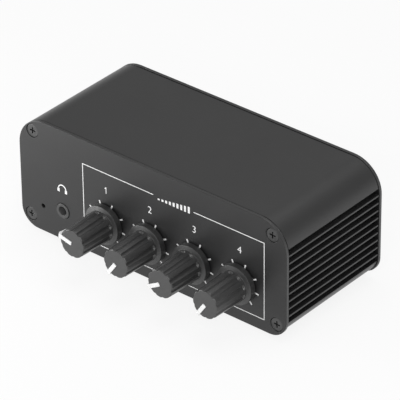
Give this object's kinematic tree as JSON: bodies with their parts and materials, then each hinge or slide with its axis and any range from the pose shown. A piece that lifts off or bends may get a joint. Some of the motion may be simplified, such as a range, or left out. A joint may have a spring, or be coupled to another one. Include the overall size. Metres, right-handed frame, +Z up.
{
  "type": "audio mixer",
  "caption": "Small desktop stereo mixer: ribbed black extruded case with flat end panels, fluted level knobs on potentiometers, a headphone socket in front and phono sockets behind.",
  "frame": {"origin": "middle of the overall box, knobs and sockets included, on the plane under the feet", "axes": "+X to the right seen from the front, +Y from the front panel to the rear panel, +Z up"},
  "size_m": [0.122, 0.0805, 0.0478],
  "materials": {
    "anodised_case": "black anodised, satin, fine extrusion lines",
    "panel_black": "black anodised, matt, white print",
    "screw_black": "black zinc, half gloss",
    "knob_black": "moulded, satin",
    "pointer_white": "moulded, smooth",
    "plated_steel": "nickel plated",
    "pot_plastic": "moulded",
    "wafer_brown": "pressed laminate",
    "contact_brass": "stamped sheet",
    "board_green": "solder mask over laminate",
    "socket_plastic": "moulded, satin",
    "lens_clear": "clear moulding",
    "nickel": "nickel plated, bright",
    "insulator_white": "moulded",
    "insulator_red": "moulded",
    "chip_black": "moulded",
    "can_sleeve": "shrunk sleeve over aluminium",
    "film_red": "moulded box",
    "rubber_black": "matt"
  },
  "bodies": {
    "chassis": {"case_shell": "anodised_case", "front_panel": "panel_black", "rear_panel": "panel_black", "front_panel_screws": "screw_black", "rear_panel_screws": "screw_black", "pot_housing_1": "pot_plastic", "input_socket_housing_1": "socket_plastic", "pot_housing_2": "pot_plastic", "input_socket_housing_2": "socket_plastic", "pot_housing_3": "pot_plastic", "input_socket_housing_3": "socket_plastic", "pot_housing_4": "pot_plastic", "input_socket_housing_4": "socket_plastic", "pot_covers": "plated_steel", "pot_wafers": "wafer_brown", "pot_pins": "plated_steel", "pot_nuts": "plated_steel", "pot_washers": "plated_steel", "main_board": "board_green", "phones_jack_body": "socket_plastic", "phones_jack_contacts": "contact_brass", "power_led": "lens_clear", "output_socket_housing": "socket_plastic", "socket_barrels": "nickel", "socket_insulators_left": "insulator_white", "socket_insulators_right": "insulator_red", "socket_contacts": "contact_brass", "power_jack_body": "socket_plastic", "power_jack_pin": "nickel", "power_jack_spring": "contact_brass", "amplifier_chips": "chip_black", "electrolytic_capacitors": "can_sleeve", "film_capacitors": "film_red", "voltage_regulator": "chip_black", "rubber_feet": "rubber_black"},
    "level_knob_1": {"knob_1": "knob_black", "knob_pointer_1": "pointer_white", "pot_shaft_1": "plated_steel", "pot_wiper_1": "contact_brass"},
    "level_knob_2": {"knob_2": "knob_black", "knob_pointer_2": "pointer_white", "pot_shaft_2": "plated_steel", "pot_wiper_2": "contact_brass"},
    "level_knob_3": {"knob_3": "knob_black", "knob_pointer_3": "pointer_white", "pot_shaft_3": "plated_steel", "pot_wiper_3": "contact_brass"},
    "level_knob_4": {"knob_4": "knob_black", "knob_pointer_4": "pointer_white", "pot_shaft_4": "plated_steel", "pot_wiper_4": "contact_brass"}
  },
  "joints": [
    {"name": "knob_1_turn", "type": "hinge", "parent": "chassis", "child": "level_knob_1", "pos_m": [-0.02035, -0.02175, 0.01775], "axis": [0, 1, 0], "range_deg": [-73, 227]},
    {"name": "knob_2_turn", "type": "hinge", "parent": "chassis", "child": "level_knob_2", "pos_m": [-0.0002, -0.02175, 0.01775], "axis": [0, 1, 0], "range_deg": [-5, 295]},
    {"name": "knob_3_turn", "type": "hinge", "parent": "chassis", "child": "level_knob_3", "pos_m": [0.01995, -0.02175, 0.01775], "axis": [0, 1, 0], "range_deg": [-30, 270]},
    {"name": "knob_4_turn", "type": "hinge", "parent": "chassis", "child": "level_knob_4", "pos_m": [0.0401, -0.02175, 0.01775], "axis": [0, 1, 0], "range_deg": [-4, 296]}
  ]
}
